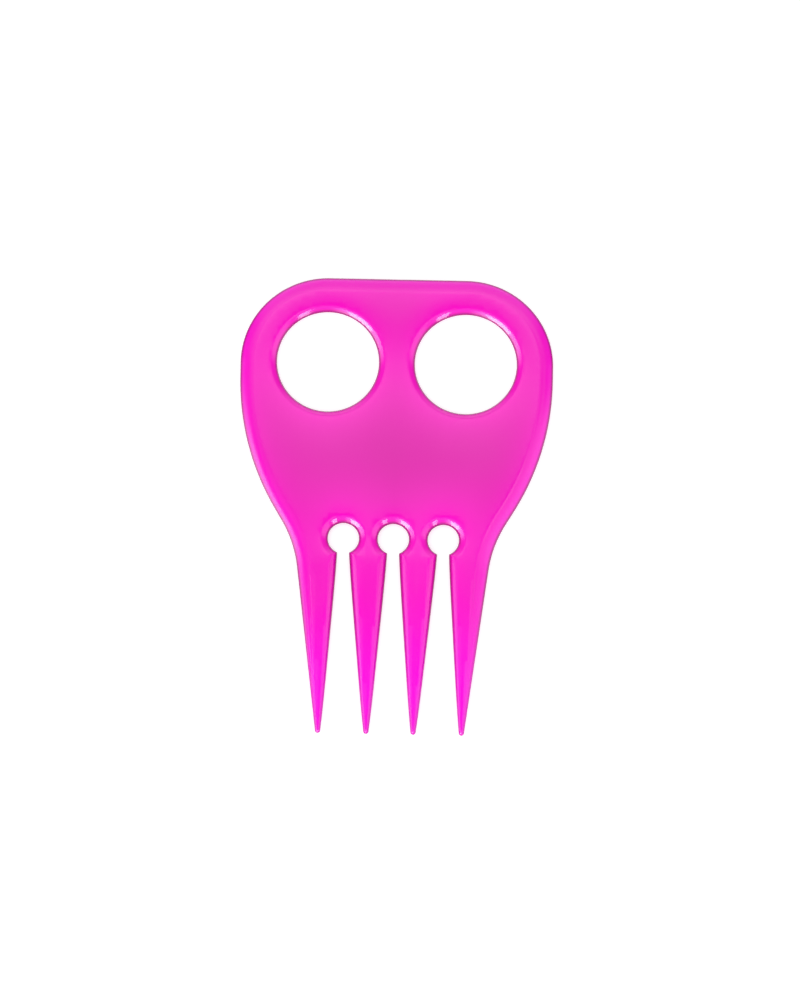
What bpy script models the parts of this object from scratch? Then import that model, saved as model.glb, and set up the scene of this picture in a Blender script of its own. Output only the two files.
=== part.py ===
"""Braiding comb: a flat moulded handle with two finger holes, and four tapered tines between keyhole slots.

Run it with blender --background --python part.py, or from Blender's text editor.

The comb lies flat. X runs across it, Y from the tips of the tines to the top of the handle, and Z up
through its thickness. The origin is under the middle of its outline, on the surface that it lies on.
All sizes are in metres.
"""

import math

import bpy
from mathutils import Vector

# Whole comb
LENGTH = 0.1138
HEAD_WIDTH = 0.0762
THICKNESS = 0.0030

# Outer edge of the handle: a head with large corners, flanks that turn in, and a waist above the tines
HEAD_CORNER_RADIUS = 0.0214
FLANK_DROP = 0.0427
FLANK_RADIUS = 0.0640
WAIST_DROP = 0.0662
WAIST_WIDTH = 0.0482
WAIST_RADIUS = 0.0300

# Finger holes
FINGER_HOLE_DIAMETER = 0.02486
FINGER_HOLE_SPACING = 0.0336
FINGER_HOLE_DROP = 0.0210

# Eyes, one at the top of each slot
EYE_DIAMETER = 0.0076
EYE_PITCH = 0.01217
EYE_DROP = 0.0651

# Slots and tines
NECK_WIDTH = 0.0029
INNER_TIP_SPACING = 0.01146
OUTER_TIP_SPACING = 0.03496
TIP_WIDTH = 0.00128
TIP_THICKNESS = 0.0013

# Rounded edges: each face turns down to a narrow land at half the thickness
PARTING_LAND = 0.0004
EDGE_STEPS = 4
LARGEST_EDGE_SHARE_OF_TIP = 0.94

# Largest distance between an arc and its chords
ARC_TOLERANCE = 0.000025

# The outline is drawn this many times larger and scaled back, because faces are filled to a fixed distance
DRAWING_SCALE = 1000.0

# Finish
COMB_COLOUR = (0.93, 0.022, 0.52, 1.0)
COMB_ROUGHNESS = 0.16
COMB_COAT = 0.3

# Sizes that follow from the ones above
TOP = LENGTH / 2
TIP = -LENGTH / 2
TIP_RADIUS = TIP_WIDTH / 2
TIP_SHARE = TIP_THICKNESS / THICKNESS
EYE_RADIUS = EYE_DIAMETER / 2
EYE_LINE = TOP - EYE_DROP
NECK_LINE = EYE_LINE - math.sqrt(EYE_RADIUS ** 2 - (NECK_WIDTH / 2) ** 2)
EDGE_RADIUS = min((THICKNESS - PARTING_LAND) / 2, LARGEST_EDGE_SHARE_OF_TIP * TIP_RADIUS / TIP_SHARE)


def remove_everything():
    """Empty the scene."""
    for scene_object in list(bpy.data.objects):
        bpy.data.objects.remove(scene_object, do_unlink=True)


def arc(centre, radius, start_angle, end_angle):
    """Points along an arc, both ends included, close enough to keep the chord error in tolerance."""
    turn = end_angle - start_angle
    widest_step = 2 * math.acos(1 - min(ARC_TOLERANCE / radius, 1))
    steps = max(2, math.ceil(abs(turn) / widest_step))
    angles = [start_angle + turn * step / steps for step in range(steps + 1)]
    return [centre + radius * Vector((math.cos(angle), math.sin(angle))) for angle in angles]


def half_angle(before, corner, after):
    """Half of the angle between the two sides that meet at a corner."""
    return (before - corner).angle(after - corner) / 2


def rounded_corner(before, corner, after, radius):
    """Points of the arc that rounds a corner of a path, in the path's direction."""
    to_before = (before - corner).normalized()
    to_after = (after - corner).normalized()
    half = half_angle(before, corner, after)
    reach = radius / math.tan(half)
    centre = corner + (to_before + to_after).normalized() * radius / math.sin(half)
    first = corner + to_before * reach - centre
    last = corner + to_after * reach - centre
    start_angle = math.atan2(first.y, first.x)
    turn = math.atan2(first.cross(last), first.dot(last))
    return arc(centre, radius, start_angle, start_angle + turn)


def rounded_path(start, corners, end):
    """Points of a path from start to end whose corners are (place, radius).

    Where two roundings would need more than the side between them, they share it.
    """
    places = [start] + [place for place, radius in corners] + [end]
    reaches = [0.0]
    for index, (place, radius) in enumerate(corners, 1):
        reaches.append(radius / math.tan(half_angle(places[index - 1], place, places[index + 1])))
    reaches.append(0.0)
    fits = [
        min(1.0, (places[side + 1] - places[side]).length / (reaches[side] + reaches[side + 1]))
        for side in range(len(places) - 1)
    ]
    points = [start]
    for index, (place, radius) in enumerate(corners, 1):
        fitted = radius * min(fits[index - 1], fits[index])
        points += rounded_corner(places[index - 1], place, places[index + 1], fitted)
    return points + [end]


def tine_tip(before, centre_x, after):
    """Round end of a tine, clockwise, tangent to its two sides, which come from before and go on to after."""
    centre = Vector((centre_x, TIP + TIP_RADIUS))
    to_before = before - centre
    to_after = after - centre
    start_angle = math.atan2(to_before.y, to_before.x) - math.acos(TIP_RADIUS / to_before.length)
    end_angle = math.atan2(to_after.y, to_after.x) + math.acos(TIP_RADIUS / to_after.length)
    return arc(centre, TIP_RADIUS, start_angle, end_angle - 2 * math.pi)


def neck_corner(eye_x, side):
    """Sharp corner where a slot leaves its eye; side is 1 on the right and -1 on the left."""
    return Vector((eye_x + side * NECK_WIDTH / 2, NECK_LINE))


def eye_arc(eye_x, share):
    """Edge of an eye from its right neck corner round towards the left one, or the share of it asked for."""
    centre = Vector((eye_x, EYE_LINE))
    start_angle = math.atan2(NECK_LINE - EYE_LINE, NECK_WIDTH / 2)
    full_turn = math.pi - 2 * start_angle
    return arc(centre, EYE_RADIUS, start_angle, start_angle + full_turn * share)


def right_edge():
    """Right half of the comb's edge, from the middle of the top to the top of the middle eye."""
    waist = Vector((WAIST_WIDTH / 2, TOP - WAIST_DROP))
    outer_tip = tine_tip(waist, OUTER_TIP_SPACING / 2, neck_corner(EYE_PITCH, 1))
    inner_tip = tine_tip(neck_corner(EYE_PITCH, -1), INNER_TIP_SPACING / 2, neck_corner(0, 1))
    handle = rounded_path(
        Vector((0, TOP)),
        [
            (Vector((HEAD_WIDTH / 2, TOP)), HEAD_CORNER_RADIUS),
            (Vector((HEAD_WIDTH / 2, TOP - FLANK_DROP)), FLANK_RADIUS),
            (waist, WAIST_RADIUS),
        ],
        outer_tip[0],
    )
    return handle[:-1] + outer_tip + eye_arc(EYE_PITCH, 1) + inner_tip + eye_arc(0, 0.5)


def whole_edge():
    """Closed outline of the comb with its slots and eyes, clockwise from the middle of the top."""
    right = right_edge()
    left = [Vector((-point.x, point.y)) for point in reversed(right[1:-1])]
    return right + left


def finger_hole(side):
    """Outline of a finger hole; side is 1 on the right and -1 on the left."""
    centre = Vector((side * FINGER_HOLE_SPACING / 2, TOP - FINGER_HOLE_DROP))
    return arc(centre, FINGER_HOLE_DIAMETER / 2, 0, 2 * math.pi)[:-1]


def thickness_share(y):
    """Thickness at a place along the comb, as a share of the handle's; it falls from the necks to the tips."""
    along_tine = min(max((NECK_LINE - y) / (NECK_LINE - TIP), 0), 1)
    return 1 + (TIP_SHARE - 1) * along_tine


def add_outline(curve, points):
    """Add a closed outline to a curve, with each point's radius thinning the plate and its edges there."""
    spline = curve.splines.new("POLY")
    spline.points.add(len(points) - 1)
    spline.use_cyclic_u = True
    for spline_point, point in zip(spline.points, points):
        spline_point.co = (point.x * DRAWING_SCALE, point.y * DRAWING_SCALE, 0, 1)
        spline_point.radius = thickness_share(point.y)


def comb_material():
    """Glossy bright pink plastic, coloured through."""
    material = bpy.data.materials.new("pink_gloss_plastic")
    material.use_nodes = True
    shader = material.node_tree.nodes["Principled BSDF"]
    shader.inputs["Base Color"].default_value = COMB_COLOUR
    shader.inputs["Roughness"].default_value = COMB_ROUGHNESS
    shader.inputs["Metallic"].default_value = 0.0
    shader.inputs["Coat Weight"].default_value = COMB_COAT
    return material


def make_comb(collection):
    """Comb as a filled flat curve with thickness and rounded edges, lying on the ground."""
    curve = bpy.data.curves.new("comb", "CURVE")
    curve.dimensions = "2D"
    curve.fill_mode = "BOTH"
    curve.bevel_depth = EDGE_RADIUS * DRAWING_SCALE
    curve.bevel_resolution = EDGE_STEPS - 1
    curve.offset = -curve.bevel_depth
    curve.extrude = (THICKNESS / 2 - EDGE_RADIUS) * DRAWING_SCALE
    add_outline(curve, whole_edge())
    for side in (-1, 1):
        add_outline(curve, finger_hole(side))
    curve.materials.append(comb_material())
    comb = bpy.data.objects.new("comb", curve)
    comb.scale = [1 / DRAWING_SCALE] * 3
    comb.location.z = THICKNESS / 2
    collection.objects.link(comb)
    return comb


def main():
    """Build the comb in its own collection."""
    remove_everything()
    collection = bpy.data.collections.new("braiding_comb")
    bpy.context.scene.collection.children.link(collection)
    make_comb(collection)


main()
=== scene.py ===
"""Braiding comb lying on a white table: a glossy pink moulding with finger holes, eyes and tapered tines.

The moulding is drawn as by hand: its outline is traced from points by extruding the straight sides and
spinning the turns, once for each row of the rounded edge, and the rows are bridged. Sizes are in metres.
X runs across the comb, Y from the tips of the tines to the top of the handle, and Z up.
"""

from __future__ import annotations

import logging
import math
from collections.abc import Callable
from dataclasses import dataclass, field
from enum import Enum

import bmesh
import bpy
import numpy as np
from mathutils import Matrix, Vector

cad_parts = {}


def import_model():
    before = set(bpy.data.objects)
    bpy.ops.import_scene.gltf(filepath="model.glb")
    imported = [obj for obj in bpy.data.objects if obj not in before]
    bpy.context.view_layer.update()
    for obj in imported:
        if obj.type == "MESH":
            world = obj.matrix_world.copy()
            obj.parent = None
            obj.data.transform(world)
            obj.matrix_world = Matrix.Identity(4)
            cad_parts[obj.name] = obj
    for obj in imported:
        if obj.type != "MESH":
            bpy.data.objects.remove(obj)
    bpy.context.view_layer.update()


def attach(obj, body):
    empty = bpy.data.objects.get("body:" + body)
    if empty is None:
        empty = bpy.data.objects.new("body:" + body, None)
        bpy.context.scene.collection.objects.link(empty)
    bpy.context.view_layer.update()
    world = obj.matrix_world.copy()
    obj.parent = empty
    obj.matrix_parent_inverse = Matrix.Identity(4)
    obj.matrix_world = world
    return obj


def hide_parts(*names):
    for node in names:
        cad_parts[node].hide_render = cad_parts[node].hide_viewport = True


LOG = logging.getLogger("braiding_comb")
# Painted light: a brighter colour near edges, standing in for light that comes in through them.
EDGE_LIGHT = "edge_light"
# Painted light: a paler colour in thin plastic, standing in for light that shines through it.
THIN_LIGHT = "thin_light"
# Painted shade: a darker colour along the rims of every edge.
RIM_SHADE = "rim_shade"
WHITE = (1.0, 1.0, 1.0, 1.0)
GREY = (0.5, 0.5, 0.5, 1.0)
Pair = tuple[float, float]
Triple = tuple[float, float, float]
Socket = bpy.types.NodeSocket


class MarkShape(Enum):
    """Shape of a small mark that the mould leaves in the plastic."""

    ROUND_PIN = "round pin"
    CUT_GATE = "cut gate"


class Curl(Enum):
    """Which side of the outline a turn's centre lies on, followed clockwise."""

    PLASTIC = 1.0
    OPENING = -1.0


def deselect_all() -> None:
    """Leave edit mode and deselect every object."""
    if bpy.context.object is not None and bpy.context.object.mode != "OBJECT":
        bpy.ops.object.mode_set(mode="OBJECT")
    bpy.ops.object.select_all(action="DESELECT")


def apply_modifier(piece: bpy.types.Object, kind: str, **settings: object) -> None:
    """Give an object a modifier and apply it, with the object the only selected and active one.

    Args:
        piece: The object.
        kind: Kind of modifier.
        settings: The modifier's settings.
    """
    deselect_all()
    piece.select_set(True)
    bpy.context.view_layer.objects.active = piece
    modifier = piece.modifiers.new(kind.lower(), kind)
    for name, value in settings.items():
        setattr(modifier, name, value)
    bpy.ops.object.modifier_apply(modifier=modifier.name)


def smooth_fade(share: float | np.ndarray) -> float | np.ndarray:
    """Fade smoothly from 0 to 1, with less than 0 taken as 0 and more than 1 as 1."""
    kept = np.clip(share, 0.0, 1.0)
    return kept * kept * (3.0 - 2.0 * kept)


def line_distance(places: np.ndarray, line: list[Vector]) -> np.ndarray:
    """Measure how far places lie from a line of points.

    Args:
        places: The places in plan, one per row.
        line: The points.

    Returns:
        Each place's distance.
    """
    nearest = np.full(len(places), np.inf)
    for start, end in zip(line, line[1:]):
        side = np.array(end - start)
        size = side @ side
        if size > 0.0:
            away = places - np.array(start)
            share = np.clip(away @ side / size, 0.0, 1.0)
            nearest = np.minimum(nearest, np.linalg.norm(away - share[:, None] * side, axis=1))
    return nearest


@dataclass(frozen=True)
class Row:
    """One row of the rounded edge: its insets, and its height above the middle of the thickness.

    The insets are from the comb's outer edge, the slots and eyes, the finger holes and the tines' round tips.
    """

    outer: float = 0.0
    slot: float = 0.0
    hole: float = 0.0
    tip: float = 0.0
    height: float = 0.0


@dataclass(frozen=True)
class Turn:
    """One turn of the outline in plan, followed clockwise round the plastic.

    Attributes:
        centre: Middle of the turn.
        size: Its radius.
        curl: Which side its centre lies on.
        steps: How many spin steps draw it.
        parts: Whether one edge ends and the next begins halfway along it.
    """

    centre: Vector
    size: float
    curl: Curl
    steps: int
    parts: bool = False

    @property
    def signed(self) -> float:
        """Radius, below zero where the centre lies in an opening."""
        return self.size * self.curl.value

    def point(self, normal_angle: float) -> Vector:
        """Place on the turn where the outward normal has an angle."""
        return self.centre + self.signed * Vector((math.cos(normal_angle), math.sin(normal_angle)))

    def sweep(self, start: float, end: float) -> float:
        """Angle swept between two angles of the outward normal, below zero where it goes clockwise."""
        swept = (end - start) % math.tau
        return swept - math.tau if self.curl is Curl.PLASTIC else swept


def side_normal(first: Turn, second: Turn) -> float:
    """Find the outward normal of the straight side that joins two turns.

    Args:
        first: The turn before the side.
        second: The turn after it.

    Returns:
        The normal's angle.
    """
    apart = second.centre - first.centre
    share = (first.signed - second.signed) / apart.length
    return math.atan2(apart.y, apart.x) + math.acos(min(max(share, -1.0), 1.0))


def edge_normals(turns: list[Turn]) -> list[float]:
    """Angles of the outward normal where each turn of a row begins, and where the last one ends."""
    between = [side_normal(first, second) for first, second in zip(turns, turns[1:])]
    return [math.pi / 2, *between, -math.pi / 2]


@dataclass
class CombOutline:
    """Plan of the right half of the comb, with every size that its outline needs."""

    length: float = 0.1138
    head_width: float = 0.0762
    head_corner_radius: float = 0.0214
    flank_drop: float = 0.0427
    flank_radius: float = 0.0640
    waist_drop: float = 0.0662
    waist_width: float = 0.0482
    waist_radius: float = 0.0300
    hole_radius: float = 0.01243
    hole_spacing: float = 0.0336
    hole_drop: float = 0.0210
    eye_radius: float = 0.0038
    eye_pitch: float = 0.01217
    eye_drop: float = 0.0651
    neck_width: float = 0.0029
    neck_rounding: float = 0.0003
    sharpest_rounding: float = 0.00012
    inner_tip_spacing: float = 0.01146
    outer_tip_spacing: float = 0.03496
    tip_width: float = 0.00128
    tip_thickness_share: float = 0.4333
    slot_bow: float = 0.000175
    bow_power: int = 4
    bow_reach: float = 0.56
    handle_steps: tuple[int, int, int] = (56, 26, 20)
    tip_steps: int = 16
    neck_steps: int = 8
    eye_steps: int = 96
    hole_steps: int = 144

    @property
    def top(self) -> float:
        """Y of the straight top edge."""
        return self.length / 2

    @property
    def tip(self) -> float:
        """Y of the ends of the tines."""
        return -self.length / 2

    @property
    def eye_line(self) -> float:
        """Y of the middles of the eyes."""
        return self.top - self.eye_drop

    @property
    def neck_line(self) -> float:
        """Y where the slots leave the eyes."""
        return self.eye_line - math.sqrt(self.eye_radius**2 - (self.neck_width / 2) ** 2)

    @property
    def hole_middle(self) -> Vector:
        """Middle of the right finger hole in plan."""
        return Vector((self.hole_spacing / 2, self.top - self.hole_drop))

    def along_tines(self, places: np.ndarray) -> np.ndarray:
        """How far places lie along the tines, 0 at the necks and 1 at the tips."""
        return np.clip((self.neck_line - places[:, 1]) / (self.neck_line - self.tip), 0.0, 1.0)

    def bow_shift(self, places: np.ndarray) -> np.ndarray:
        """Find how far places on the right half move across, where the sides of the slots bow into them.

        Args:
            places: The places in plan, one per row.

        Returns:
            The moves along X.
        """
        along = self.along_tines(places)
        bow = self.slot_bow * (1.0 - np.abs(2.0 * along - 1.0) ** self.bow_power)
        neck, tip = self.neck_width / 2, self.tip_width / 2
        shift = np.zeros(len(places))
        for middle, left, right, right_bows in (
            (self.inner_tip_spacing / 2, neck, self.eye_pitch - neck, 1.0),
            (self.outer_tip_spacing / 2, self.eye_pitch + neck, self.waist_width / 2, 0.0),
        ):
            low = left + (middle - tip - left) * along
            high = right + (middle + tip - right) * along
            share = (places[:, 0] - low) / (high - low)
            across = np.clip(share, 0.0, 1.0)
            move = bow * (across * right_bows - (1.0 - across))
            shift += np.where(np.abs(share - 0.5) < self.bow_reach, move, 0.0)
        return shift

    def handle_turns(self, inset: float) -> list[Turn]:
        """Lay out the turns of the handle's edge, from the head's corner to the waist.

        Args:
            inset: How far the row lies inside the outline.

        Returns:
            The turns, clockwise.
        """
        half = self.head_width / 2
        flank = Vector((half, self.top - self.flank_drop))
        waist = Vector((self.waist_width / 2, self.top - self.waist_drop))
        run = waist - Vector((self.outer_tip_spacing / 2, self.tip + self.tip_width / 2))
        slope = math.atan2(flank.x - waist.x, flank.y - waist.y)
        steep = math.atan2(run.x, run.y) - math.asin(self.tip_width / 2 / run.length)
        lean = (slope + steep) / 2
        out = Vector((math.cos(lean), -math.sin(lean)))
        head_centre = Vector((half - self.head_corner_radius, self.top - self.head_corner_radius))
        flank_centre = Vector((half - self.flank_radius, flank.y + self.flank_radius * math.tan(slope / 2)))
        waist_centre = waist + out * self.waist_radius / math.cos((slope - steep) / 2)
        head_steps, flank_steps, waist_steps = self.handle_steps
        return [
            Turn(head_centre, self.head_corner_radius - inset, Curl.PLASTIC, head_steps),
            Turn(flank_centre, self.flank_radius - inset, Curl.PLASTIC, flank_steps),
            Turn(waist_centre, self.waist_radius + inset, Curl.OPENING, waist_steps),
        ]

    def tip_turn(self, spacing: float, inset: float) -> Turn:
        """Lay out the round end of a tine.

        Args:
            spacing: Distance between the two tips of the pair.
            inset: How far the row lies inside the tip.

        Returns:
            The turn.
        """
        radius = self.tip_width / 2
        centre = Vector((spacing / 2, self.tip + radius))
        return Turn(centre, radius - inset, Curl.PLASTIC, self.tip_steps, parts=True)

    def neck_turn(self, eye_x: float, side: int, inset: float) -> Turn:
        """Lay out the small rounding where a slot leaves its eye.

        Args:
            eye_x: Middle of the eye.
            side: 1 for the rounding on the eye's right and -1 on its left.
            inset: How far the row lies inside the outline.

        Returns:
            The turn.
        """
        depth = max(self.neck_rounding, inset + self.sharpest_rounding)
        across = self.neck_width / 2 + depth
        down = math.sqrt((self.eye_radius + depth) ** 2 - across**2)
        centre = Vector((eye_x + side * across, self.eye_line - down))
        return Turn(centre, depth - inset, Curl.PLASTIC, self.neck_steps)

    def turns(self, row: Row) -> list[Turn]:
        """Lay out every turn of the right half in one row, from the head's corner to the middle eye.

        Args:
            row: The row.

        Returns:
            The turns, clockwise.
        """
        middle, right = Vector((0.0, self.eye_line)), Vector((self.eye_pitch, self.eye_line))
        eye = self.eye_radius + row.slot
        return [
            *self.handle_turns(row.outer),
            self.tip_turn(self.outer_tip_spacing, row.tip),
            self.neck_turn(right.x, 1, row.slot),
            Turn(right, eye, Curl.OPENING, self.eye_steps, parts=True),
            self.neck_turn(right.x, -1, row.slot),
            self.tip_turn(self.inner_tip_spacing, row.tip),
            self.neck_turn(middle.x, 1, row.slot),
            Turn(middle, eye, Curl.OPENING, self.eye_steps // 2),
        ]

    def edge_lines(self) -> list[list[Vector]]:
        """Draw the edges of the right half as lines of points.

        Returns:
            The outer edge, then each side of the slots with its eye.
        """
        turns = self.turns(Row())
        normals = edge_normals(turns)
        lines = [[Vector((0.0, self.top))]]
        for turn, start, end in zip(turns, normals, normals[1:]):
            swept = turn.sweep(start, end)
            points = [turn.point(start + swept * step / turn.steps) for step in range(turn.steps + 1)]
            last = turn.steps // 2 if turn.parts else turn.steps
            lines[-1] += points[: last + 1]
            if turn.parts:
                lines.append(points[last:])
        return lines


@dataclass
class EdgeProfile:
    """Section through the rounded edges, from the parting line to the flat face, for one face of the comb."""

    thickness: float = 0.0030
    rise: float = 0.00145
    outer_reach: float = 0.0033
    slot_reach: float = 0.00178
    hole_reach: float = 0.00160
    tip_reach: float = 0.00058
    fullness: float = 1.45
    parting_ridge: float = 0.00002
    ridge_reach: float = 0.00004
    first_inset: float = 2e-7
    steps: int = 16

    def rows(self) -> list[Row]:
        """Draw up the rows of the section.

        Returns:
            The rows above the middle of the thickness, outermost first.
        """
        ridge, power = self.parting_ridge, 2.0 / self.fullness
        reaches = (self.outer_reach, self.slot_reach, self.hole_reach, self.tip_reach)
        found = [Row(*[self.first_inset] * 4), Row(*[ridge] * 4, self.ridge_reach)]
        for step in range(self.steps + 1):
            angle = math.pi / 2 * step / self.steps
            share = 1.0 - max(math.cos(angle), 0.0) ** power
            insets = [ridge + (reach - ridge) * share for reach in reaches]
            height = self.thickness / 2 - self.rise * (1.0 - math.sin(angle) ** power)
            found.append(Row(*insets, height))
        return found


@dataclass
class FaceForm:
    """How the faces thin along the tines and fall to their edges, and where light and shade are painted."""

    outline: CombOutline
    half_thickness: float
    outer_slope: float = 0.039
    outer_reach: float = 0.0048
    hole_slope: float = 0.050
    hole_reach: float = 0.0050
    slot_slope: float = 0.040
    slot_reach: float = 0.0017
    tip_share_of_reach: float = 0.42
    even_share_of_taper: float = 0.40
    neck_blend: float = 0.0030
    # Painted light near edges: its strongest share and how far in it reaches.
    light_share: float = 0.92
    light_reach: float = 0.0070
    # Painted light through thin plastic, along the tines and near the outer edge.
    thin_from: float = 0.15
    thin_run: float = 0.65
    thin_share: float = 0.6
    thin_reach: float = 0.0014
    # Painted shade along the rims: how far in it reaches, and how much of it the tines lose.
    rim_reach: float = 0.00080
    rim_loss: float = 0.55
    edges: list[list[Vector]] = field(init=False)

    def __post_init__(self) -> None:
        """Draw the edges once, to measure distances from them."""
        self.edges = self.outline.edge_lines()

    def edge_gaps(self, places: np.ndarray) -> np.ndarray:
        """Measure how far places on the right half lie from each edge.

        Args:
            places: The places in plan, one per row.

        Returns:
            A row for each edge: the outer edge, the two finger holes, then the sides of the slots.
        """
        hole = self.outline.hole_middle
        gaps = [line_distance(places, self.edges[0])]
        for side in (-1, 1):
            away = np.linalg.norm(places - np.array((side * hole.x, hole.y)), axis=1)
            gaps.append(np.maximum(away - self.outline.hole_radius, 0.0))
        return np.array(gaps + [line_distance(places, line) for line in self.edges[1:]])

    def light(self, places: np.ndarray) -> dict[str, np.ndarray]:
        """Find the painted light and shade in the colour at places on the right half of the finished comb.

        Args:
            places: The places in plan, one per row.

        Returns:
            Shares of painted light at edges and in thin plastic, and of painted shade on the rim.
        """
        straight = places.copy()
        straight[:, 0] -= self.outline.bow_shift(places)
        gaps = self.edge_gaps(straight)
        tines = smooth_fade((self.outline.along_tines(places) - self.thin_from) / self.thin_run)
        # Painted shade, darkest at the nearest edge.
        rim = 1.0 - smooth_fade(gaps.min(axis=0) / self.rim_reach)
        return {
            # Painted light near every edge.
            EDGE_LIGHT: 1.0 - (1.0 - self.light_share * np.exp(-gaps / self.light_reach)).prod(axis=0),
            # Painted light through thin plastic, on the tines and near the outer edge.
            THIN_LIGHT: np.maximum(tines, self.thin_share * np.exp(-gaps[0] / self.thin_reach)),
            # Painted shade on the rim, less of it towards the tips.
            RIM_SHADE: rim * (1.0 - self.rim_loss * tines),
        }

    def taper(self, places: np.ndarray) -> np.ndarray:
        """Find the tines' thickness as a share of the handle's, which starts to fall in a soft curve.

        Args:
            places: The places in plan, one per row.

        Returns:
            The shares.
        """
        plan, blend = self.outline, self.neck_blend
        below = plan.neck_line - places[:, 1]
        soft = np.clip(below + blend, 0.0, 2.0 * blend) ** 2 / (4.0 * blend)
        fall = np.where(below < blend, soft, below)
        along = np.minimum(fall / (plan.neck_line - plan.tip), 1.0)
        curve = along * (self.even_share_of_taper + (1.0 - self.even_share_of_taper) * along)
        return 1.0 - (1.0 - plan.tip_thickness_share) * curve

    def share(self, places: np.ndarray) -> np.ndarray:
        """Find the thickness at places on the right half, as a share of the thickest.

        Args:
            places: The places in plan, one per row.

        Returns:
            The shares.
        """
        gaps = self.edge_gaps(places)
        narrowing = 1.0 - (1.0 - self.tip_share_of_reach) * self.outline.along_tines(places)
        outer = self.outer_reach * narrowing
        slot = self.slot_reach * narrowing
        fall = self.outer_slope * outer * np.exp(-gaps[0] / outer)
        fall += self.hole_slope * self.hole_reach * np.exp(-gaps[1:3] / self.hole_reach).sum(axis=0)
        fall += self.slot_slope * slot * np.exp(-gaps[3:].min(axis=0) / slot)
        return self.taper(places) * (1.0 - fall / self.half_thickness)


@dataclass
class MouldMark:
    """Small mark that the mould leaves: where an ejector pin pushed, or where the gate was cut off."""

    shape: MarkShape
    x: float
    y: float
    width: float
    height: float = 0.0
    depth: float = 0.00004
    cutter_size: float = 0.002
    cutter_sides: int = 64

    def cutter(self, form: FaceForm) -> bpy.types.Object:
        """Make the solid that is taken out of the comb.

        Args:
            form: Form of the comb's faces.

        Returns:
            The solid, at the mark's place.
        """
        deselect_all()
        half = self.cutter_size / 2
        if self.shape is MarkShape.ROUND_PIN:
            back = form.half_thickness * (1.0 - float(form.share(np.array([[abs(self.x), self.y]]))[0]))
            bpy.ops.mesh.primitive_cylinder_add(
                vertices=self.cutter_sides,
                radius=self.width / 2,
                depth=self.cutter_size,
                location=(self.x, self.y, back + self.depth - half),
            )
        else:
            bpy.ops.mesh.primitive_cube_add(
                size=1.0,
                location=(self.x, self.y + half - self.depth, form.half_thickness),
                scale=(self.width, self.cutter_size, self.height),
            )
            bpy.ops.object.transform_apply(location=False, rotation=False, scale=True)
        cutter = bpy.context.object
        cutter.name = f"cutter_{self.shape.name.lower()}"
        return cutter


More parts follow.
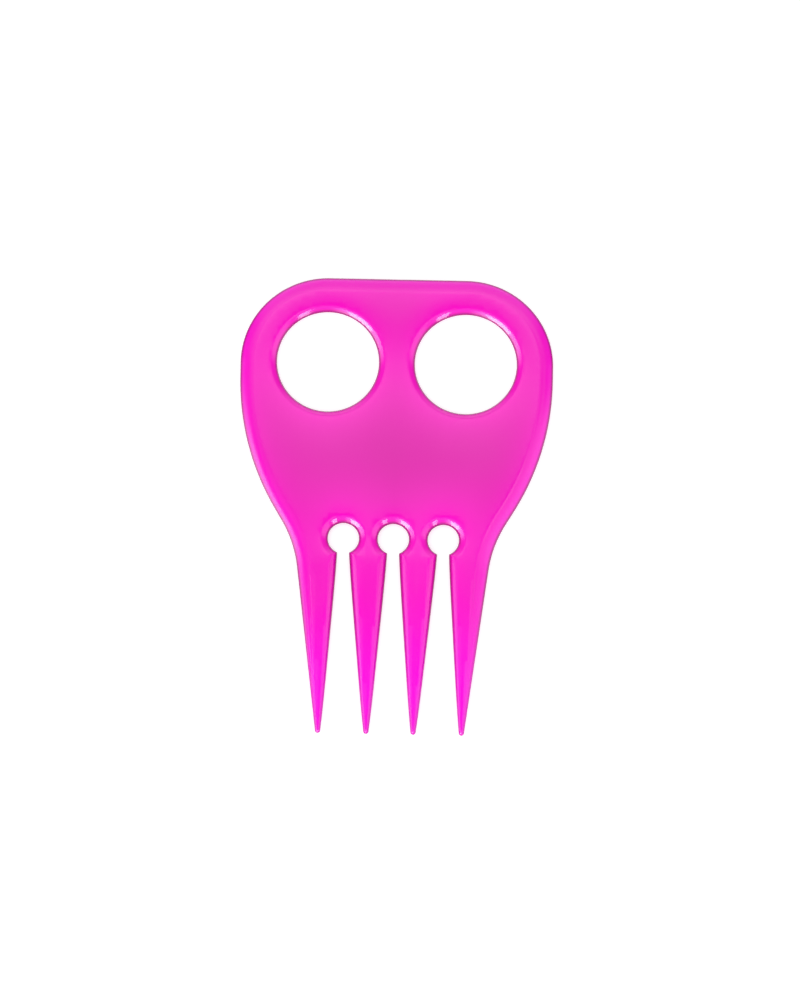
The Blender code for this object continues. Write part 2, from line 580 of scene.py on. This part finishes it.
@dataclass
class CombBody:
    """The whole comb, one moulding: handle, finger holes, eyes, slots and four tines.

    A slack is how far a point may lie from where it is looked for, joined, cut through or merged. The grid's
    offset is where its first lines lie, across and along, in pitches.
    """

    outline: CombOutline = field(default_factory=CombOutline)
    profile: EdgeProfile = field(default_factory=EdgeProfile)
    form: FaceForm = field(init=False)
    marks: list[MouldMark] = field(default_factory=list)
    seed_size: float = 0.001
    grid_pitch: float = 0.0012
    grid_offset: Pair = (0.5, 0.2)
    smooth_angle: float = math.radians(38.0)
    height_slack: float = 1e-7
    shortest_side: float = 1e-6
    join_slack: float = 2e-5
    seam_slack: float = 2e-6
    cut_slack: float = 6e-5
    mirror_slack: float = 4e-6
    merge_slack: float = 1e-6
    piece: bpy.types.Object = field(init=False)

    def __post_init__(self) -> None:
        """Work out the form of the faces once."""
        self.form = FaceForm(self.outline, self.profile.thickness / 2)

    @property
    def face_height(self) -> float:
        """Height that only points of the flat face pass, before the faces take their form."""
        return self.profile.thickness / 2 - self.height_slack

    def trace_row(self, row: Row) -> None:
        """Draw the right half of the outline in one row, from the middle of the top to the middle eye.

        Args:
            row: The row.
        """
        turns = self.outline.turns(row)
        normals = edge_normals(turns)
        place = Vector((0.0, self.outline.top - row.outer))
        bpy.ops.mesh.select_all(action="DESELECT")
        bpy.ops.mesh.primitive_plane_add(size=self.seed_size, location=(*place, row.height))
        bpy.ops.mesh.merge(type="CENTER")
        for turn, start, end in zip(turns, normals, normals[1:]):
            side = turn.point(start) - place
            if side.length > self.shortest_side:
                bpy.ops.mesh.extrude_region_move(TRANSFORM_OT_translate={"value": (*side, 0.0)})
            bpy.ops.mesh.spin(
                steps=turn.steps,
                angle=-turn.sweep(start, end),
                center=(*turn.centre, row.height),
                axis=(0.0, 0.0, 1.0),
            )
            place = turn.point(end)

    def ring_row(self, row: Row) -> None:
        """Draw the right finger hole's edge in one row.

        Args:
            row: The row.
        """
        bpy.ops.mesh.select_all(action="DESELECT")
        bpy.ops.mesh.primitive_circle_add(
            vertices=self.outline.hole_steps,
            radius=self.outline.hole_radius + row.hole,
            location=(*self.outline.hole_middle, row.height),
        )

    def select(self, wanted: Callable[[int, Vector], bool]) -> int:
        """Select the points of the piece in edit mode that pass a test, and nothing else.

        Args:
            wanted: The test of a point's number and place.

        Returns:
            How many points were selected.
        """
        bpy.ops.mesh.select_all(action="DESELECT")
        shape = bmesh.from_edit_mesh(self.piece.data)
        found = [point for number, point in enumerate(shape.verts) if wanted(number, point.co)]
        for point in found:
            point.select = True
        shape.select_flush(True)
        bmesh.update_edit_mesh(self.piece.data)
        return len(found)

    def select_border(self, wanted: Callable[[Vector], bool]) -> int:
        """Select the points of the flat face's border whose places pass a test, and count them."""
        return self.select(lambda number, place: place.z > self.face_height and wanted(place))

    def band(self, draw_row: Callable[[Row], None]) -> None:
        """Draw every row of a rounded edge and bridge each to the one before.

        Args:
            draw_row: The method that draws one row.
        """
        starts = [len(bmesh.from_edit_mesh(self.piece.data).verts)]
        for row in self.profile.rows():
            draw_row(row)
            starts.append(len(bmesh.from_edit_mesh(self.piece.data).verts))
            if len(starts) > 2:
                last_two = range(starts[-3], starts[-1])
                self.select(lambda number, place: number in last_two)
                bpy.ops.mesh.bridge_edge_loops(type="SINGLE")

    def join_points(self, first: Vector, second: Vector) -> None:
        """Join two points of the flat face's border by an edge.

        Args:
            first: Place of one point in plan.
            second: Place of the other.
        """
        slack = self.join_slack
        found = self.select_border(lambda at: min((at.xy - first).length, (at.xy - second).length) < slack)
        if found != 2:
            raise ValueError(f"{found} points at {first} and {second}")
        bpy.ops.mesh.edge_face_add()

    def close_face(self) -> None:
        """Fill the flat face with two faces that meet at a seam through the finger hole."""
        plan, slack = self.outline, self.seam_slack
        border = self.profile.rows()[-1]
        hole = plan.hole_middle
        up = Vector((0.0, plan.hole_radius + border.hole))
        eye_top = Vector((plan.eye_pitch, plan.eye_line + plan.eye_radius + border.slot))
        head = Vector((plan.head_width / 2 - plan.head_corner_radius, plan.top - border.outer))
        self.join_points(Vector((0.0, head.y)), Vector((0.0, eye_top.y)))
        self.join_points(head, hole + up)
        self.join_points(hole - up, eye_top)

        def seam(y: float) -> float:
            """Where the seam lies across the comb at a place along it."""
            lower = hole.x if y > eye_top.y + slack else eye_top.x
            return head.x if y > hole.y + up.y + slack else lower

        for side in (-1.0, 1.0):
            self.select_border(lambda place: side * (place.x - seam(place.y)) >= -slack)
            bpy.ops.mesh.edge_face_add()

    def grid_face(self) -> None:
        """Cut the flat face into a grid, and the tines' sides too, so that they can take a gentle form."""
        plan, pitch = self.outline, self.grid_pitch
        first_x, first_y = self.grid_offset
        across = math.ceil(plan.head_width / 2 / pitch)
        along = math.ceil(plan.length / 2 / pitch)
        planes = [(((step + first_x) * pitch, 0.0, 0.0), (1.0, 0.0, 0.0)) for step in range(across)]
        planes += [((0.0, (step + first_y) * pitch, 0.0), (0.0, 1.0, 0.0)) for step in range(-along, along)]
        for place, normal in planes:
            bpy.ops.mesh.select_all(action="DESELECT")
            shape = bmesh.from_edit_mesh(self.piece.data)
            whole_tine = plan.tip + plan.tip_width < place[1] < plan.neck_line - plan.neck_rounding
            for face in shape.faces:
                if whole_tine or all(point.co.z > self.face_height for point in face.verts):
                    face.select = True
            bmesh.update_edit_mesh(self.piece.data)
            bpy.ops.mesh.bisect(plane_co=place, plane_no=normal, threshold=self.cut_slack)

    def shape_faces(self) -> None:
        """Thin the tines towards their tips, let the faces fall to the edges, and bow the slots' sides."""
        shape = bmesh.from_edit_mesh(self.piece.data)
        places = np.array([point.co.xy for point in shape.verts])
        shares, shifts = self.form.share(places), self.outline.bow_shift(places)
        for point, share, shift in zip(shape.verts, shares, shifts):
            point.co.z *= share
            point.co.x += shift
        bmesh.update_edit_mesh(self.piece.data)

    def mirror(self) -> None:
        """Mirror the piece left to right and front to back, and join the parts."""
        for axes in ((True, False, False), (False, False, True)):
            apply_modifier(
                self.piece, "MIRROR", use_axis=axes, use_clip=True, merge_threshold=self.mirror_slack
            )

    def stamp_marks(self, finish: bpy.types.Material) -> None:
        """Press the mould's marks into the piece.

        Args:
            finish: Finish of the marks.
        """
        settings = {"operation": "DIFFERENCE", "solver": "EXACT", "material_mode": "TRANSFER"}
        for mark in self.marks:
            cutter = mark.cutter(self.form)
            cutter.data.materials.append(finish)
            apply_modifier(self.piece, "BOOLEAN", object=cutter, **settings)
            bpy.data.objects.remove(cutter, do_unlink=True)
            LOG.info("pressed a %s at %.1f, %.1f mm", mark.shape.value, mark.x * 1e3, mark.y * 1e3)

    def record_light(self) -> None:
        """Record at each point the painted light and painted shade that its colour takes."""
        mesh = self.piece.data
        places = np.array([(abs(point.co.x), point.co.y) for point in mesh.vertices])
        for name, values in self.form.light(places).items():
            attribute = mesh.attributes.new(name, "FLOAT", "POINT")
            attribute.data.foreach_set("value", values.astype(np.float32))

    def build(self, gloss: bpy.types.Material, marked: bpy.types.Material) -> bpy.types.Object:
        """Build the comb and dress it.

        Args:
            gloss: Finish of the whole moulding.
            marked: Finish of the mould's small marks.

        Returns:
            The finished piece.
        """
        deselect_all()
        bpy.ops.mesh.primitive_plane_add(size=self.seed_size)
        self.piece = bpy.context.object
        self.piece.name = "comb_moulding"
        bpy.ops.object.mode_set(mode="EDIT")
        bpy.ops.mesh.select_mode(type="VERT")
        bpy.ops.mesh.select_all(action="SELECT")
        bpy.ops.mesh.delete(type="VERT")
        self.band(self.trace_row)
        self.band(self.ring_row)
        self.close_face()
        self.grid_face()
        self.shape_faces()
        bpy.ops.object.mode_set(mode="OBJECT")
        self.mirror()
        bpy.ops.object.mode_set(mode="EDIT")
        bpy.ops.mesh.select_all(action="SELECT")
        bpy.ops.mesh.remove_doubles(threshold=self.merge_slack)
        bpy.ops.mesh.normals_make_consistent(inside=False)
        bpy.ops.transform.translate(value=(0.0, 0.0, self.profile.thickness / 2))
        bpy.ops.object.mode_set(mode="OBJECT")
        self.piece.data.materials.append(gloss)
        self.stamp_marks(marked)
        self.record_light()
        bpy.ops.object.shade_smooth_by_angle(angle=self.smooth_angle)
        return self.piece


def sky_direction(azimuth: float, zenith: float) -> Vector:
    """Direction at an azimuth, from X towards Y, and at an angle from straight up, both in degrees."""
    turn, tilt = math.radians(azimuth), math.radians(zenith)
    return Vector((math.sin(tilt) * math.cos(turn), math.sin(tilt) * math.sin(turn), math.cos(tilt)))


@dataclass(frozen=True)
class Nodes:
    """Short ways to add nodes to one node tree."""

    tree: bpy.types.NodeTree

    def feed(self, socket: Socket, value: object) -> None:
        """Give an input socket what it takes.

        Args:
            socket: The input socket.
            value: A plain value, or the output socket of another node.
        """
        if isinstance(value, Socket):
            self.tree.links.new(value, socket)
        else:
            socket.default_value = value

    def add(self, kind: str, inputs: dict[str | int, object], **settings: object) -> bpy.types.NodeOutputs:
        """Add a node.

        Args:
            kind: Kind of node.
            inputs: What its inputs take, by name or number.
            settings: Its other settings.

        Returns:
            The node's outputs.
        """
        node = self.tree.nodes.new(f"ShaderNode{kind}")
        for name, value in settings.items():
            setattr(node, name, value)
        for label, value in inputs.items():
            self.feed(node.inputs[label], value)
        return node.outputs

    def math(self, operation: str, first: object, second: object) -> Socket:
        """Result of a step of arithmetic on two numbers or sockets."""
        return self.add("Math", {0: first, 1: second}, operation=operation)["Value"]

    def dot(self, vector: Socket, azimuth: float) -> Socket:
        """How far a direction points towards an azimuth, in degrees from X towards Y."""
        towards = tuple(sky_direction(azimuth, 90.0))
        return self.add("VectorMath", {0: vector, 1: towards}, operation="DOT_PRODUCT")["Value"]

    def noise(self, place: Socket, scale: object, detail: float, stretch: Triple) -> Socket:
        """Noise of a scale, which is a number or a socket, on coordinates that are stretched first."""
        stretched = self.add("Mapping", {"Vector": place, "Scale": stretch})["Vector"]
        return self.add("TexNoise", {"Vector": stretched, "Scale": scale, "Detail": detail})["Fac"]

    def fit(self, value: Socket, given: Pair, wanted: tuple, kind: str = "SMOOTHSTEP") -> Socket:
        """Map one range of values to another.

        Args:
            value: The socket that gives the value.
            given: Ends of the range it comes from.
            wanted: Ends of the range it goes to, numbers or sockets.
            kind: Way of fading between them.

        Returns:
            The socket that gives the mapped value.
        """
        labels = ("Value", "From Min", "From Max", "To Min", "To Max")
        inputs = dict(zip(labels, (value, *given, *wanted)))
        return self.add("MapRange", inputs, interpolation_type=kind)["Result"]

    def mix(self, share: Socket, first: Socket, second: Socket) -> Socket:
        """Mix of two colours, whose sockets are found by number, as their names aren't unique."""
        return self.add("Mix", {0: share, 6: first, 7: second}, data_type="RGBA")[2]

    def sent_on(self, path: bpy.types.NodeOutputs) -> Socket:
        """Mask of the rays that a gloss or a glass sends on, from a Light Path node."""
        return self.math("MAXIMUM", path["Is Glossy Ray"], path["Is Transmission Ray"])


def new_group(
    name: str, inputs: dict[str, object], outputs: dict[str, str]
) -> tuple[Nodes, bpy.types.NodeOutputs, bpy.types.NodeInputs]:
    """Make an empty shader node group with named sockets.

    Args:
        name: Name of the group.
        inputs: Each input's value by its name: a number, a colour, or None for coordinates.
        outputs: Each output's kind of socket, by its name.

    Returns:
        The group's nodes, what it is given and what it puts out.
    """
    group = bpy.data.node_groups.new(name, "ShaderNodeTree")
    for label, value in inputs.items():
        kind = "Vector" if value is None else "Color" if isinstance(value, tuple) else "Float"
        socket = group.interface.new_socket(name=label, in_out="INPUT", socket_type=f"NodeSocket{kind}")
        if value is not None:
            socket.default_value = value
    for label, kind in outputs.items():
        group.interface.new_socket(name=label, in_out="OUTPUT", socket_type=f"NodeSocket{kind}")
    start, end = group.nodes.new("NodeGroupInput"), group.nodes.new("NodeGroupOutput")
    return Nodes(group), start.outputs, end.inputs


def painted_light_and_shade_colour_group() -> bpy.types.NodeTree:
    """Make a plastic's colour, with light and shade painted in and faint flow streaks of its own.

    Painted light makes it brighter near edges and in thin parts; painted shade darkens it along the rim.

    Returns:
        The group.
    """
    inputs = {
        "Coordinates": None,
        "Core Colour": GREY,
        "Edge Colour": GREY,
        "Thin Colour": GREY,
        "Rim Colour": GREY,
        "Edge Share": 0.0,
        "Thin Share": 0.0,
        "Rim Share": 0.0,
        "Flow Scale": 40.0,
        "Flow Share": 0.1,
    }
    nodes, given, wanted = new_group("painted_light_and_shade_colour", inputs, {"Colour": "Color"})
    along_flow = (1.0, 0.45, 1.0)
    flow = nodes.noise(given["Coordinates"], given["Flow Scale"], 2.0, along_flow)
    streak = nodes.math("MULTIPLY", nodes.math("SUBTRACT", flow, 0.5), given["Flow Share"])
    # The edge colour is painted light; the flow streaks are the plastic's own colour.
    share = nodes.math("ADD", given["Edge Share"], streak)
    colour = nodes.mix(share, given["Core Colour"], given["Edge Colour"])
    # Painted light through thin plastic, then painted shade along the rim.
    for layer in ("Thin", "Rim"):
        colour = nodes.mix(given[f"{layer} Share"], colour, given[f"{layer} Colour"])
    nodes.feed(wanted["Colour"], colour)
    return nodes.tree


def moulded_surface_group() -> bpy.types.NodeTree:
    """Make the surface of a polished moulding: slow ripple, hairline scratches and smudges of handling.

    Returns:
        The group.
    """
    inputs = {
        "Coordinates": None,
        "Ripple Scale": 300.0,
        "Ripple Height": 1e-6,
        "Scratch Scale": 900.0,
        "Scratch Height": 1e-6,
        "Least Roughness": 0.1,
        "Most Roughness": 0.2,
    }
    nodes, given, wanted = new_group("moulded_surface", inputs, {"Height": "Float", "Roughness": "Float"})
    place, even, hairline = given["Coordinates"], (1.0, 1.0, 1.0), (1.0, 0.03, 1.0)
    scratched, smudged = (0.66, 0.72), (0.35, 0.7)
    smudge_scale, scratch_roughness = 75.0, 0.03
    ripple = nodes.noise(place, given["Ripple Scale"], 1.0, even)
    scratch = nodes.noise(place, given["Scratch Scale"], 1.0, hairline)
    smudge = nodes.noise(place, smudge_scale, 3.0, even)
    line = nodes.fit(scratch, scratched, (0.0, 1.0), "LINEAR")
    wave = nodes.math("MULTIPLY", ripple, given["Ripple Height"])
    groove = nodes.math("MULTIPLY", line, given["Scratch Height"])
    rough = nodes.fit(smudge, smudged, (given["Least Roughness"], given["Most Roughness"]))
    rougher = nodes.math("MULTIPLY", line, scratch_roughness)
    nodes.feed(wanted["Height"], nodes.math("SUBTRACT", wave, groove))
    nodes.feed(wanted["Roughness"], nodes.math("ADD", rough, rougher))
    return nodes.tree


@dataclass(frozen=True)
class PlasticFinish:
    """One finish of the pink plastic.

    Attributes:
        name: Name of the material.
        core_colour: Colour in the middle of thick parts.
        edge_colour: Painted light near edges, a brighter colour where light comes in from the side.
        thin_colour: Painted light through thin plastic, on the tines' thin ends and along the outer edge.
        rim_colour: Painted shade along the parting line and the rims of the openings.
        least_roughness: Roughness where it is cleanest.
        most_roughness: Roughness where it was handled.
        ripple_height: Height of the slow ripple, in metres.
        scratch_height: Depth of the hairline scratches, in metres.
        flow_share: How far the flow streaks move the colour.
        flow_scale: How close the flow streaks lie. The next two say it of the ripple and the scratches.
        refraction: Index of refraction.
    """

    name: str
    core_colour: Triple
    edge_colour: Triple
    thin_colour: Triple
    rim_colour: Triple
    least_roughness: float
    most_roughness: float
    ripple_height: float
    scratch_height: float
    flow_share: float
    flow_scale: float = 45.0
    ripple_scale: float = 260.0
    scratch_scale: float = 1500.0
    refraction: float = 1.5

    def material(self, colours: bpy.types.NodeTree, surfaces: bpy.types.NodeTree) -> bpy.types.Material:
        """Make the material.

        Args:
            colours: The shared colour group.
            surfaces: The shared surface group.

        Returns:
            The material.
        """
        material = bpy.data.materials.new(self.name)
        material.use_nodes = True
        nodes = Nodes(material.node_tree)
        place = nodes.add("TexCoord", {})["Object"]
        layers = {"Coordinates": place, "Flow Scale": self.flow_scale, "Flow Share": self.flow_share}
        for layer in ("Core", "Edge", "Thin", "Rim"):
            layers[f"{layer} Colour"] = (*getattr(self, f"{layer.lower()}_colour"), 1.0)
        # Shares of painted light at edges and in thin plastic, and of painted shade on the rim, from the
        # points.
        for layer, attribute in (("Edge", EDGE_LIGHT), ("Thin", THIN_LIGHT), ("Rim", RIM_SHADE)):
            layers[f"{layer} Share"] = nodes.add("Attribute", {}, attribute_name=attribute)["Fac"]
        touches = {
            "Coordinates": place,
            "Ripple Scale": self.ripple_scale,
            "Ripple Height": self.ripple_height,
            "Scratch Scale": self.scratch_scale,
            "Scratch Height": self.scratch_height,
            "Least Roughness": self.least_roughness,
            "Most Roughness": self.most_roughness,
        }
        colour = nodes.add("Group", layers, node_tree=colours)["Colour"]
        surface = nodes.add("Group", touches, node_tree=surfaces)
        bump = nodes.add("Bump", {"Distance": 1.0, "Height": surface["Height"]})["Normal"]
        shader = nodes.tree.nodes["Principled BSDF"].inputs
        for label, value in (("Base Color", colour), ("Roughness", surface["Roughness"]), ("Normal", bump)):
            nodes.feed(shader[label], value)
        shader["IOR"].default_value = self.refraction
        return material


GLOSS = PlasticFinish(
    name="gloss_pink_plastic",
    core_colour=(0.578, 0.002, 0.305),
    # Painted light near edges.
    edge_colour=(0.995, 0.002, 0.585),
    # Painted light through thin plastic.
    thin_colour=(0.985, 0.002, 0.735),
    # Painted shade along the rim.
    rim_colour=(0.37, 0.002, 0.18),
    least_roughness=0.10,
    most_roughness=0.135,
    ripple_height=1.7e-6,
    scratch_height=4.0e-7,
    flow_share=0.25,
)
MARKED = PlasticFinish(
    name="marked_pink_plastic",
    core_colour=(0.568, 0.004, 0.300),
    # Painted light near edges.
    edge_colour=(0.970, 0.004, 0.575),
    # Painted light through thin plastic.
    thin_colour=(0.965, 0.004, 0.725),
    # Painted shade along the rim.
    rim_colour=(0.37, 0.002, 0.18),
    least_roughness=0.24,
    most_roughness=0.34,
    ripple_height=2.0e-6,
    scratch_height=9.0e-7,
    flow_share=0.15,
)


@dataclass(frozen=True)
class Softbox:
    """A soft studio lamp that faces the comb and shows in its gloss.

    Its azimuth, from X towards Y, and its zenith, from straight up, are in degrees. Its width and height are
    those of its face, and its brightness is the face's radiance, 1 being white.
    """

    name: str
    azimuth: float
    zenith: float
    distance: float
    width: float
    height: float
    brightness: float

    def build(self) -> None:
        """Make the lamp."""
        lamp = bpy.data.lights.new(self.name, "AREA")
        lamp.shape = "RECTANGLE"
        lamp.size = self.width
        lamp.size_y = self.height
        lamp.energy = self.brightness * math.pi * self.width * self.height
        holder = bpy.data.objects.new(self.name, lamp)
        bpy.context.scene.collection.objects.link(holder)
        direction = sky_direction(self.azimuth, self.zenith)
        holder.location = direction * self.distance
        holder.rotation_euler = direction.to_track_quat("Z", "Y").to_euler()
        holder.visible_camera = False
        holder.visible_diffuse = False
        LOG.info("lamp %s", self.name)


@dataclass(frozen=True)
class WallPanel:
    """A soft bright panel on the studio's walls, which shows in the gloss.

    Attributes:
        azimuth: Direction of its middle, in degrees from X towards Y.
        half_width: Half of the angle that it spans, in degrees.
        softness: Angle over which each side fades, in degrees.
        near: Slopes from the vertical between which its upper end fades in.
        brightness: Its radiance, 1 being white.
        far: Slopes between which its lower end fades out, just above the horizon if not given.
    """

    azimuth: float
    half_width: float
    softness: float
    near: Pair
    brightness: float
    far: Pair = (90.0, 100.0)

    def add(self, nodes: Nodes, heading: Socket, slope: Socket) -> Socket:
        """Add the panel to the world.

        Args:
            nodes: The world's nodes.
            heading: Socket of the level direction, one long.
            slope: Socket of the slope from the vertical.

        Returns:
            The socket that gives its brightness in a direction.
        """
        outer = math.cos(math.radians(self.half_width + self.softness / 2))
        inner = math.cos(math.radians(max(self.half_width - self.softness / 2, 0.0)))
        across = nodes.fit(nodes.dot(heading, self.azimuth), (outer, inner), (0.0, 1.0))
        begun = nodes.fit(slope, self.near, (0.0, self.brightness))
        left = nodes.fit(slope, self.far, (1.0, 0.0))
        return nodes.math("MULTIPLY", across, nodes.math("MULTIPLY", begun, left))


@dataclass
class Studio:
    """White table, soft lamps, pale surroundings and the camera."""

    floor_size: float = 6.0
    floor_gap: float = 0.00001
    table_grey: float = 0.7
    table_roughness: float = 0.9
    table_lift: float = 0.52
    camera_distance: float = 6.0
    camera_elevation: float = math.radians(76.7)
    camera_roll: float = math.radians(1.16)
    camera_clip: float = 50.0
    sensor_width: float = 36.0
    frame_height: float = 0.24374
    frame_pixels: int = 1001
    centre_right_pixels: float = 6.0
    centre_up_pixels: float = 6.0
    target_height: float = 0.0015
    plain_light: float = 1.07
    light_azimuth: float = 252.0
    light_lean: float = 0.55
    overhead: float = 0.03
    walls: float = 0.20
    walls_end: Pair = (0.82, 0.96)
    lowest_height: float = 0.001
    lamps: tuple[Softbox, ...] = (
        Softbox("softbox_left", 222.0, 68.0, 1.5, 0.92, 0.92, 9.0),
        Softbox("softbox_right", -55.0, 64.0, 1.5, 0.42, 1.09, 7.2),
    )
    panels: tuple[WallPanel, ...] = (
        WallPanel(91.0, 20.0, 34.0, (0.208, 0.246), 1.36, (0.45, 0.65)),
        WallPanel(90.0, 58.0, 24.0, (0.24, 0.34), 0.42, (0.70, 1.00)),
        WallPanel(178.0, 60.0, 30.0, (0.10, 0.20), 0.36, (0.48, 0.66)),
        WallPanel(90.0, 38.0, 30.0, (0.45, 0.65), 0.85),
        WallPanel(90.0, 25.0, 20.0, (1.4, 2.4), 0.6),
        WallPanel(-18.0, 40.0, 20.0, (0.06, 0.16), 1.0, (0.60, 0.85)),
        WallPanel(-8.0, 18.0, 22.0, (0.60, 0.85), 1.5),
        WallPanel(25.0, 18.0, 20.0, (0.14, 0.22), 0.8, (0.34, 0.46)),
        WallPanel(270.0, 60.0, 40.0, (0.3, 0.7), 0.4),
        WallPanel(214.0, 36.0, 38.0, (0.74, 1.10), 4.7),
    )

    def floor(self) -> None:
        """Make the table top, white to the camera and with the comb's soft shadow on it."""
        deselect_all()
        bpy.ops.mesh.primitive_plane_add(size=self.floor_size, location=(0.0, 0.0, -self.floor_gap))
        floor = bpy.context.object
        floor.name = "white_table"
        bpy.ops.object.transform_apply(location=True, rotation=False, scale=False)
        material = bpy.data.materials.new("white_table_top")
        material.use_nodes = True
        nodes = Nodes(material.node_tree)
        path = nodes.add("LightPath", {})
        seen = nodes.math("MAXIMUM", path["Is Camera Ray"], nodes.sent_on(path))
        values = {
            "Base Color": (*[self.table_grey] * 3, 1.0),
            "Roughness": self.table_roughness,
            "Specular IOR Level": 0.0,
            "Emission Color": WHITE,
            "Emission Strength": nodes.math("MULTIPLY", seen, self.table_lift),
        }
        for label, value in values.items():
            nodes.feed(nodes.tree.nodes["Principled BSDF"].inputs[label], value)
        floor.data.materials.append(material)

    def surroundings(self) -> None:
        """Surround the scene: white to the camera, a plain light that leans, and in the gloss a room."""
        world = bpy.data.worlds.new("pale_studio")
        world.use_nodes = True
        bpy.context.scene.world = world
        nodes = Nodes(world.node_tree)
        direction = nodes.add("TexCoord", {})["Generated"]
        above = nodes.add("SeparateXYZ", {0: direction})["Z"]
        level = nodes.add("VectorMath", {0: direction, 1: (1.0, 1.0, 0.0)}, operation="MULTIPLY")["Vector"]
        heading = nodes.add("VectorMath", {0: level}, operation="NORMALIZE")["Vector"]
        reach = nodes.add("VectorMath", {0: level}, operation="LENGTH")["Value"]
        slope = nodes.math("DIVIDE", reach, nodes.math("MAXIMUM", above, self.lowest_height))
        room = nodes.fit(above, self.walls_end, (self.walls, self.overhead))
        for panel in self.panels:
            room = nodes.math("ADD", room, panel.add(nodes, heading, slope))
        path = nodes.add("LightPath", {})
        shown = nodes.math("MULTIPLY", nodes.sent_on(path), room)
        leaning = (1.0 - self.light_lean, 1.0 + self.light_lean)
        lean = nodes.fit(nodes.dot(direction, self.light_azimuth), (-1.0, 1.0), leaning, "LINEAR")
        plain = nodes.math("MULTIPLY", lean, self.plain_light)
        lit = nodes.math("MULTIPLY", path["Is Diffuse Ray"], plain)
        seen = nodes.math("MAXIMUM", path["Is Camera Ray"], nodes.math("ADD", shown, lit))
        background = nodes.tree.nodes["Background"].inputs
        nodes.feed(background["Color"], WHITE)
        nodes.feed(background["Strength"], seen)

    def camera(self) -> None:
        """Make the camera, above the tines' side, and frame the comb as in the photograph."""
        data = bpy.data.cameras.new("camera")
        data.sensor_width = self.sensor_width
        data.lens = data.sensor_width * self.camera_distance / self.frame_height
        data.clip_end = self.camera_clip
        holder = bpy.data.objects.new("camera", data)
        bpy.context.scene.collection.objects.link(holder)
        back = Vector((0.0, -math.cos(self.camera_elevation), math.sin(self.camera_elevation)))
        level_right = Vector((1.0, 0.0, 0.0))
        level_up = back.cross(level_right)
        right = level_right * math.cos(self.camera_roll) + level_up * math.sin(self.camera_roll)
        up = level_up * math.cos(self.camera_roll) - level_right * math.sin(self.camera_roll)
        pixel = self.frame_height / self.frame_pixels
        target = Vector((0.0, 0.0, self.target_height))
        target += right * self.centre_right_pixels * pixel + up * self.centre_up_pixels * pixel
        turn = Matrix((right, up, back)).transposed().to_4x4()
        holder.matrix_world = Matrix.Translation(target + back * self.camera_distance) @ turn
        bpy.context.scene.camera = holder

    def build(self) -> None:
        """Make the whole studio."""
        self.floor()
        self.surroundings()
        for lamp in self.lamps:
            lamp.build()
        self.camera()
        bpy.context.scene.view_settings.view_transform = "Standard"


def mould_marks() -> list[MouldMark]:
    """Lay out the marks of the ejector pins on the back and of the gate at the top edge.

    Returns:
        The marks.
    """
    pins = [(0.0, 0.0500, 0.0036), (0.0, 0.0140, 0.0044)]
    for side in (-1.0, 1.0):
        for x, y, width in ((0.0200, 0.0120, 0.0044), (0.0061, -0.0180, 0.0028), (0.0176, -0.0180, 0.0028)):
            pins.append((side * x, y, width))
    marks = [MouldMark(MarkShape.ROUND_PIN, *pin) for pin in pins]
    return marks + [MouldMark(MarkShape.CUT_GATE, 0.0, 0.0569, 0.0034, 0.0014)]


def main() -> None:
    """Build the comb and the studio round it, and report each piece."""
    logging.basicConfig(level=logging.INFO, format="%(name)s: %(message)s")
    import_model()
    groups = painted_light_and_shade_colour_group(), moulded_surface_group()
    gloss, marked = GLOSS.material(*groups), MARKED.material(*groups)
    comb = CombBody(marks=mould_marks()).build(gloss, marked)
    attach(comb, "root")
    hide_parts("comb")
    LOG.info("%s has %d faces", comb.name, len(comb.data.polygons))
    Studio().build()


if __name__ == "__main__":
    main()
